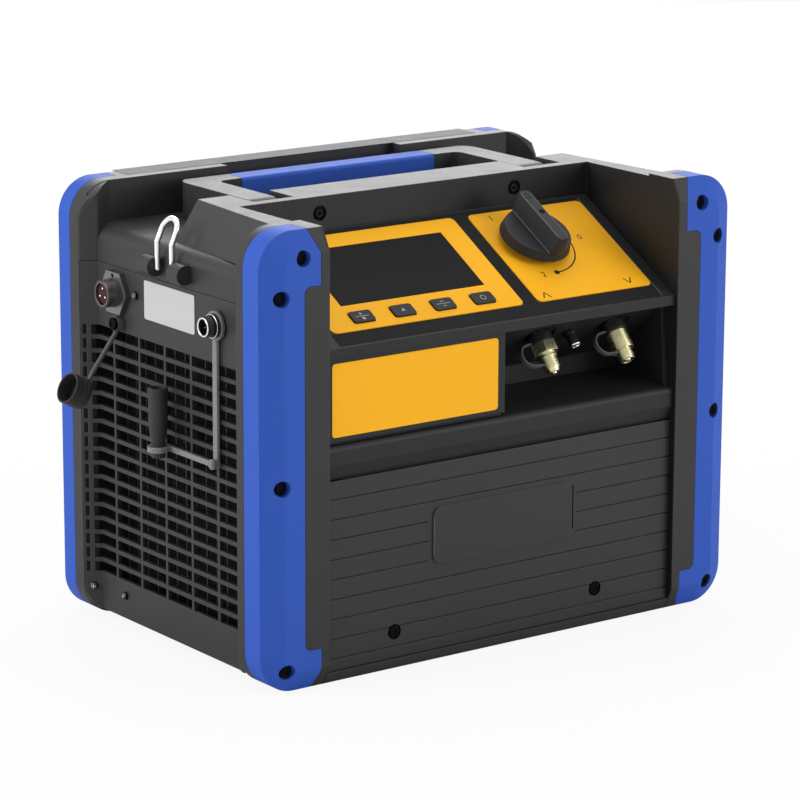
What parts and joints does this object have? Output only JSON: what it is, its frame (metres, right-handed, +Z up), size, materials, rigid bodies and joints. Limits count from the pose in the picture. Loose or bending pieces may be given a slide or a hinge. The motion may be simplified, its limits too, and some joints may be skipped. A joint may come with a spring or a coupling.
{
  "type": "refrigerant recovery machine",
  "caption": "Carried refrigerant recovery machine: bevelled end frames with bumpers, louvred sides, sloped console with display, keys and selector knob, hose ports, folding handle.",
  "frame": {"origin": "centre of the flat base that the machine stands on", "axes": "+Z up, -Y towards the front face, +X to the right seen from the front"},
  "size_m": [0.4387, 0.264, 0.312],
  "materials": {
    "black_plastic": "fine moulded texture",
    "blue_bumper": "satin moulded",
    "yellow_overlay": "printed film",
    "display_window": "smoked and polished",
    "steel": "plated",
    "connector_metal": "satin nickel",
    "bright_wire": "polished",
    "brass": "machined",
    "black_nylon": "moulded",
    "red_insert": "moulded",
    "black_rubber": "moulded",
    "clear_plastic": "clear moulded",
    "aluminium": "plain",
    "copper_tube": "drawn",
    "painted_steel": "semi matt",
    "circuit_board": "solder mask"
  },
  "bodies": {
    "housing": {"front_frame": "black_plastic", "rear_frame": "black_plastic", "top_housing": "black_plastic", "top_cover": "black_plastic", "left_side_panel": "black_plastic", "right_side_panel": "black_plastic", "base_tray": "black_plastic", "rear_cover": "black_plastic", "control_panel": "black_plastic", "lower_front_panel": "black_plastic", "bail_bracket": "black_plastic", "bumper_front_left": "blue_bumper", "bumper_front_right": "blue_bumper", "bumper_rear_left": "blue_bumper", "bumper_rear_right": "blue_bumper", "display_overlay": "yellow_overlay", "selector_overlay": "yellow_overlay", "display_lens": "display_window", "bumper_screws": "steel", "panel_screws": "steel", "handle_pins": "steel", "handle_spacers": "steel", "power_connector": "connector_metal", "power_pins": "connector_metal", "sensor_connector": "connector_metal", "inlet_fitting": "brass", "outlet_fitting": "brass", "valve_body": "brass", "manifold": "brass", "port_nuts": "black_nylon", "bay_stud": "black_nylon", "fan_shroud": "black_nylon", "power_insert": "red_insert", "rubber_mounts": "black_rubber", "condenser_fins": "aluminium", "compressor": "aluminium", "fan_motor": "aluminium", "condenser_tube": "copper_tube", "refrigerant_lines": "copper_tube", "motor_bracket": "painted_steel", "compressor_motor": "painted_steel", "filter_drier": "painted_steel", "key_board": "circuit_board", "display_module": "circuit_board"},
    "handle": {"carry_handle": "black_plastic", "handle_grip": "blue_bumper"},
    "selector": {"selector_knob": "black_plastic", "valve_stem": "steel"},
    "first_key": {"key_1": "black_nylon"},
    "second_key": {"key_2": "black_nylon"},
    "third_key": {"key_3": "black_nylon"},
    "fourth_key": {"key_4": "black_nylon"},
    "bail_loop": {"bail": "bright_wire"},
    "fan": {"fan_rotor": "black_nylon", "fan_shaft": "steel"},
    "dust_cap_tether": {"dust_cap": "black_rubber", "dust_cap_strap": "black_rubber"},
    "sensor_tether": {"sensor_strap": "clear_plastic"},
    "sensor_elbow": {"sensor_arm": "clear_plastic", "sensor_cap": "black_rubber"}
  },
  "joints": [
    {"name": "handle_lift", "type": "hinge", "parent": "housing", "child": "handle", "pos_m": [0, -0.0017, 0.296], "axis": [1, 0, 0], "range_deg": [0, 90]},
    {"name": "knob_turn", "type": "hinge", "parent": "housing", "child": "selector", "pos_m": [0.0695, -0.06717, 0.26489], "axis": [0, 0.4915, -0.8709], "range_deg": [0, 180]},
    {"name": "key_1_press", "type": "slide", "parent": "housing", "child": "first_key", "axis": [0, 0.4915, -0.8709], "range_m": [0, 0.0008], "stiffness_N_per_m": 400, "springref_m": -0.002},
    {"name": "key_2_press", "type": "slide", "parent": "housing", "child": "second_key", "axis": [0, 0.4915, -0.8709], "range_m": [0, 0.0008], "stiffness_N_per_m": 400, "springref_m": -0.002},
    {"name": "key_3_press", "type": "slide", "parent": "housing", "child": "third_key", "axis": [0, 0.4915, -0.8709], "range_m": [0, 0.0008], "stiffness_N_per_m": 400, "springref_m": -0.002},
    {"name": "key_4_press", "type": "slide", "parent": "housing", "child": "fourth_key", "axis": [0, 0.4915, -0.8709], "range_m": [0, 0.0008], "stiffness_N_per_m": 400, "springref_m": -0.002},
    {"name": "bail_swing", "type": "hinge", "parent": "housing", "child": "bail_loop", "pos_m": [-0.194, -0.0035, 0.268], "axis": [0, -1, 0], "range_deg": [0, 160]},
    {"name": "fan_spin", "type": "hinge", "parent": "housing", "child": "fan", "pos_m": [-0.12, 0.002, 0.118], "axis": [1, 0, 0], "continuous": true},
    {"name": "dust_cap_swing", "type": "hinge", "parent": "housing", "child": "dust_cap_tether", "pos_m": [-0.19, 0.0598, 0.2195], "axis": [1, 0, 0], "range_deg": [-20, 40]},
    {"name": "sensor_strap_swing", "type": "hinge", "parent": "housing", "child": "sensor_tether", "pos_m": [-0.19, -0.0618, 0.24], "axis": [1, 0, 0], "range_deg": [-8, 25]},
    {"name": "sensor_arm_fold", "type": "hinge", "parent": "sensor_tether", "child": "sensor_elbow", "pos_m": [-0.19, -0.0618, 0.1455], "axis": [1, 0, 0], "range_deg": [-75, 45]}
  ]
}
